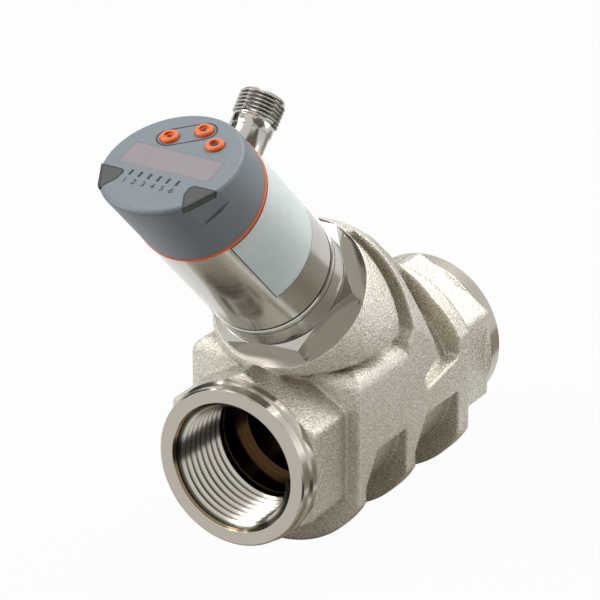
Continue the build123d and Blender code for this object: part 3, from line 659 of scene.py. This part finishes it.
class SENSOR_OT_button_symbols(bpy.types.Operator):
    """Put the raised symbols into the dishes of the ring buttons"""

    bl_idname = "sensor.button_symbols"
    bl_label = "Button symbols"

    def execute(self, context):
        material = moulded_finish("symbol_black", context.scene.sensor_finish.print_black[:],
                                  0.45, 3000.0, 0.05)
        for name, body, spot, corners, turn in (
                ("down_symbol", "button_down", DOWN_BUTTON, 3, -pi / 2),
                ("up_symbol", "button_up", UP_BUTTON, 3, pi / 2),
                ("set_symbol", "button_set", SET_BUTTON, 24, 0.0)):
            bpy.ops.object.select_all(action="DESELECT")
            bpy.ops.mesh.primitive_cylinder_add(vertices=corners, radius=0.00095, depth=0.00012)
            obj = bpy.context.object
            tip = obj.data.vertices[0].co
            bpy.ops.object.mode_set(mode="EDIT")
            bpy.ops.mesh.select_all(action="SELECT")
            bpy.ops.mesh.bevel(offset=0.00003, segments=1)
            bpy.ops.object.mode_set(mode="OBJECT")
            obj.rotation_euler = (0.0, 0.0, turn - atan2(tip.y, tip.x))
            bpy.ops.object.transform_apply(location=False, rotation=True, scale=False)
            shade(35.0)
            set_on_face(obj, *spot, DISH_HEIGHT)
            ready(obj, name, body, material)
        return {"FINISHED"}


class SENSOR_OT_face_marks(bpy.types.Operator):
    """Print the outline round the arrow buttons and the digits under the bars"""

    bl_idname = "sensor.face_marks"
    bl_label = "Face marks"

    def execute(self, context):
        detail = context.scene.sensor_detail
        ink = moulded_finish("print_black", context.scene.sensor_finish.print_black[:],
                             0.5, 3000.0, 0.03)
        # A disc whose half is drawn out to the other button, then cut down to its rim
        apart = Vector((UP_BUTTON[0] - DOWN_BUTTON[0], UP_BUTTON[1] - DOWN_BUTTON[1], 0.0))
        bpy.ops.object.select_all(action="DESELECT")
        bpy.ops.mesh.primitive_circle_add(vertices=64, radius=0.0033, fill_type="NGON",
                                          location=(0.0, 0.0, 0.0))
        obj = bpy.context.object
        bpy.ops.object.mode_set(mode="EDIT")
        bpy.ops.mesh.select_all(action="DESELECT")
        bpy.ops.object.mode_set(mode="OBJECT")
        for vertex in obj.data.vertices:
            vertex.select = vertex.co.dot(apart) > 0
        bpy.ops.object.mode_set(mode="EDIT")
        bpy.ops.transform.translate(value=apart)
        bpy.ops.mesh.select_all(action="SELECT")
        bpy.ops.mesh.inset(thickness=0.00036)
        bpy.ops.mesh.delete(type="FACE")
        bpy.ops.mesh.select_all(action="SELECT")
        bpy.ops.mesh.extrude_region_move(
            TRANSFORM_OT_translate={"value": (0.0, 0.0, detail.print_height)})
        outward()
        set_on_face(obj, *DOWN_BUTTON, 0.0)
        ready(obj, "arrow_button_outline", "head", ink)

        for index in range(DIGIT_COUNT):
            bpy.ops.object.select_all(action="DESELECT")
            bpy.ops.object.text_add()
            digit = bpy.context.object
            digit.data.body = str(index + 1)
            digit.data.size = detail.digit_size
            digit.data.extrude = detail.print_height
            digit.data.align_x = "CENTER"
            digit.data.align_y = "CENTER"
            bpy.ops.object.convert(target="MESH")
            digit = bpy.context.object
            across = DIGIT_ROW[0] + (index - (DIGIT_COUNT - 1) / 2) * DIGIT_STEP
            set_on_face(digit, across, DIGIT_ROW[1], 0.0)
            ready(digit, f"digit_{index + 1}", "head", ink)
        return {"FINISHED"}


class SENSOR_OT_finishes(bpy.types.Operator):
    """Give each solid its finish"""

    bl_idname = "sensor.finishes"
    bl_label = "Finishes"

    def execute(self, context):
        finish = context.scene.sensor_finish
        steel = turned_metal_finish("turned_steel", finish.polished_steel[:], 0.17, 0.06)
        polished = turned_metal_finish("polished_tube", finish.polished_steel[:], 0.15, 0.12)
        spring = turned_metal_finish("spring_steel", paint(150, 150, 150), 0.3, 0.05)
        orange = moulded_finish("orange_plastic", finish.signal_orange[:], 0.42, 1800.0, 0.12)
        rubber = moulded_finish("orange_rubber", finish.signal_orange[:], 0.55, 1500.0, 0.15)
        black = moulded_finish("black_plastic", paint(30, 30, 32), 0.5, 2500.0, 0.1)
        seal = moulded_finish("black_rubber", paint(20, 20, 20), 0.6, 1500.0, 0.2)
        cap = moulded_finish("cap_plastic", finish.cap_grey[:], 0.46, 1600.0, 0.25)
        board = board_finish()
        lens = clear_finish("lens_plastic", finish.lens_smoke[:], 0.2, 0.0, 1.0)
        wear = {
            "measuring_body": forged_body_finish(finish),
            "sensor_base": steel, "guide_tube": steel, "piston": steel, "magnet_cap": steel,
            "piston_magnet": spring, "retaining_ring": spring, "return_spring": spring,
            "housing_tube": polished, "base_seal": seal, "swivel_seal": seal,
            "swivel_bush": black, "seal_ring": rubber, "display_cap": cap,
            "display_window": clear_finish("smoked_window", finish.window_brown[:], 0.3, 0.1, 0.3),
            "lens_left": lens, "lens_right": lens, "indicator_bars": black,
            "display_module": black, "key_switches": black,
            "display_board": board, "main_board": board, "sensing_board": board,
            "label_plate": label_finish(finish),
            "button_down": orange, "button_up": orange, "button_set": orange,
        }
        for name, material in wear.items():
            NODES[name].data.materials.clear()
            NODES[name].data.materials.append(material)
        return {"FINISHED"}


def soft_lamp(name, location, aim, width, height, power):
    """A soft box that faces a point."""
    bpy.ops.object.light_add(type="AREA", location=location)
    lamp = bpy.context.object
    lamp.name = name
    lamp.data.shape = "RECTANGLE"
    lamp.data.size, lamp.data.size_y = width, height
    lamp.data.energy = power
    lamp.rotation_euler = (Vector(aim) - Vector(location)).to_track_quat("-Z", "Y").to_euler()


def card(name, location, aim, width, height, colour):
    """A studio card, seen only in reflections."""
    bpy.ops.mesh.primitive_plane_add(size=1.0, location=location)
    obj = bpy.context.object
    obj.name = name
    obj.scale = (width, height, 1.0)
    obj.rotation_euler = (Vector(aim) - Vector(location)).to_track_quat("Z", "Y").to_euler()
    material, tree, body = shader(name, colour, 0.0, 0.9)
    grain = noise(tree, place(tree), 30.0)
    relief(tree, body, grain, 0.05, 0.001)
    obj.data.materials.append(material)
    obj.visible_camera = False
    obj.visible_diffuse = False
    obj.visible_shadow = False


def seen_directly(tree):
    """1 for what the camera sees itself or in a mirror or through glass, 0 for soft light."""
    path = node(tree, "ShaderNodeLightPath")
    return math(tree, "MAXIMUM", path.outputs["Is Camera Ray"],
                math(tree, "MAXIMUM", path.outputs["Is Glossy Ray"],
                     path.outputs["Is Transmission Ray"]))


class SENSOR_OT_stage(bpy.types.Operator):
    """Set up the floor, lamps, room light and camera"""

    bl_idname = "sensor.stage"
    bl_label = "Stage"

    def execute(self, context):
        stage = context.scene.sensor_stage
        scene = context.scene
        bpy.ops.object.select_all(action="DESELECT")
        bpy.ops.mesh.primitive_plane_add(size=12.0, location=(0.0, 1.0, CAD_BOX[0][2] - 0.0006))
        floor = bpy.context.object
        floor.name = "floor"
        material, tree, body = shader("floor_white", (0.36, 0.36, 0.36), 0.0, 0.8)
        glow = node(tree, "ShaderNodeEmission", None, Color=(1, 1, 1, 1), Strength=1.0)
        mix = tree.nodes.new("ShaderNodeMixShader")
        tree.links.new(math(tree, "MULTIPLY", seen_directly(tree), 0.97), mix.inputs[0])
        tree.links.new(body.outputs[0], mix.inputs[1])
        tree.links.new(glow.outputs[0], mix.inputs[2])
        tree.links.new(mix.outputs[0], tree.nodes["Material Output"].inputs["Surface"])
        floor.data.materials.append(material)

        aim = (0.0, 0.035, 0.035)
        soft_lamp("key_lamp", (0.78, 0.55, 0.36), aim, 0.5, 0.7, stage.key_power)
        soft_lamp("fill_lamp", (-0.8, -0.5, 0.5), aim, 0.5, 0.5, stage.fill_power)
        soft_lamp("top_lamp", (0.02, 0.52, 0.86), aim, 0.7, 0.7, stage.top_power)
        soft_lamp("bore_lamp", (-0.5, -0.55, 0.7), aim, 0.14, 0.14, stage.bore_power)
        black, brown = (0.012, 0.011, 0.01), (0.18, 0.15, 0.11)
        card("card_over_connector", (0.43, -0.34, 0.78), aim, 0.12, 0.6, black)
        card("card_upper_left", (-0.5, -0.4, 0.72), aim, 0.42, 0.36, black)
        card("card_right", (0.72, 0.0, 0.62), aim, 0.85, 0.9, (0.3, 0.25, 0.18))
        card("card_left", (-0.75, 0.05, 0.32), aim, 0.9, 0.45, black)
        card("card_back", (0.1, 0.75, 0.02), aim, 0.6, 0.16, brown)
        # Three cards lie on the floor, which the metal's lower walls mirror: darker sheets that
        # put painted shade into those reflections, where the floor round the object is shaded
        low = CAD_BOX[0][2] - 0.0002
        card("shade_card_under", (0.0, 0.043, low), (0.0, 0.043, 1.0), 0.075, 0.105,
             (0.6, 0.54, 0.45))
        card("shade_card_port", (0.046, -0.052, low), (0.046, -0.052, 1.0), 0.07, 0.075, black)
        card("shade_card_below", (0.13, 0.1, low - 0.0001), (0.13, 0.1, 1.0), 0.17, 0.34,
             (0.36, 0.33, 0.27))

        world = bpy.data.worlds.new("room")
        scene.world = world
        world.use_nodes = True
        tree = world.node_tree
        tree.nodes.clear()
        room = node(tree, "ShaderNodeBackground", None, Color=(1, 1, 1, 1))
        tree.links.new(spread(tree, seen_directly(tree), stage.room_light, 1.0, 0.0, 1.0),
                       room.inputs["Strength"])
        out = tree.nodes.new("ShaderNodeOutputWorld")
        tree.links.new(room.outputs[0], out.inputs["Surface"])

        bpy.ops.object.camera_add(location=(0.5995, -0.9468, 0.5486),
                                  rotation=(radians(90 - 24.18), 0.0, radians(31.47)))
        camera = bpy.context.object
        camera.name = "photo_camera"
        camera.data.sensor_width = 36.0
        camera.data.lens = stage.lens_length
        camera.data.clip_start, camera.data.clip_end = 0.05, 40.0
        scene.camera = camera
        scene.view_settings.view_transform = "Standard"
        return {"FINISHED"}


PIECES = (SENSOR_OT_port_threads, SENSOR_OT_connector, SENSOR_OT_return_spring,
          SENSOR_OT_button_symbols, SENSOR_OT_face_marks, SENSOR_OT_finishes, SENSOR_OT_stage)


class SENSOR_PT_detail(bpy.types.Panel):
    """Sizes, colours and build steps of the sensor"""

    bl_idname = "SENSOR_PT_detail"
    bl_label = "Flow Sensor"
    bl_space_type = "VIEW_3D"
    bl_region_type = "UI"
    bl_category = "Flow Sensor"

    def draw(self, context):
        for piece in PIECES:
            self.layout.operator(piece.bl_idname)
        for group in (context.scene.sensor_finish, context.scene.sensor_detail,
                      context.scene.sensor_stage):
            box = self.layout.box()
            for name in group.__annotations__:
                box.prop(group, name)


CLASSES = (FinishSettings, DetailSettings, StageSettings, *PIECES, SENSOR_PT_detail)


def register():
    for cls in CLASSES:
        bpy.utils.register_class(cls)
    bpy.types.Scene.sensor_finish = PointerProperty(type=FinishSettings)
    bpy.types.Scene.sensor_detail = PointerProperty(type=DetailSettings)
    bpy.types.Scene.sensor_stage = PointerProperty(type=StageSettings)


def unregister():
    del bpy.types.Scene.sensor_stage
    del bpy.types.Scene.sensor_detail
    del bpy.types.Scene.sensor_finish
    for cls in reversed(CLASSES):
        bpy.utils.unregister_class(cls)


def main():
    register()
    bpy.ops.sensor.stage()
    bpy.ops.sensor.finishes()
    bpy.ops.sensor.port_threads()
    bpy.ops.sensor.connector()
    bpy.ops.sensor.return_spring()
    bpy.ops.sensor.button_symbols()
    bpy.ops.sensor.face_marks()


if __name__ == "__main__":
    main()
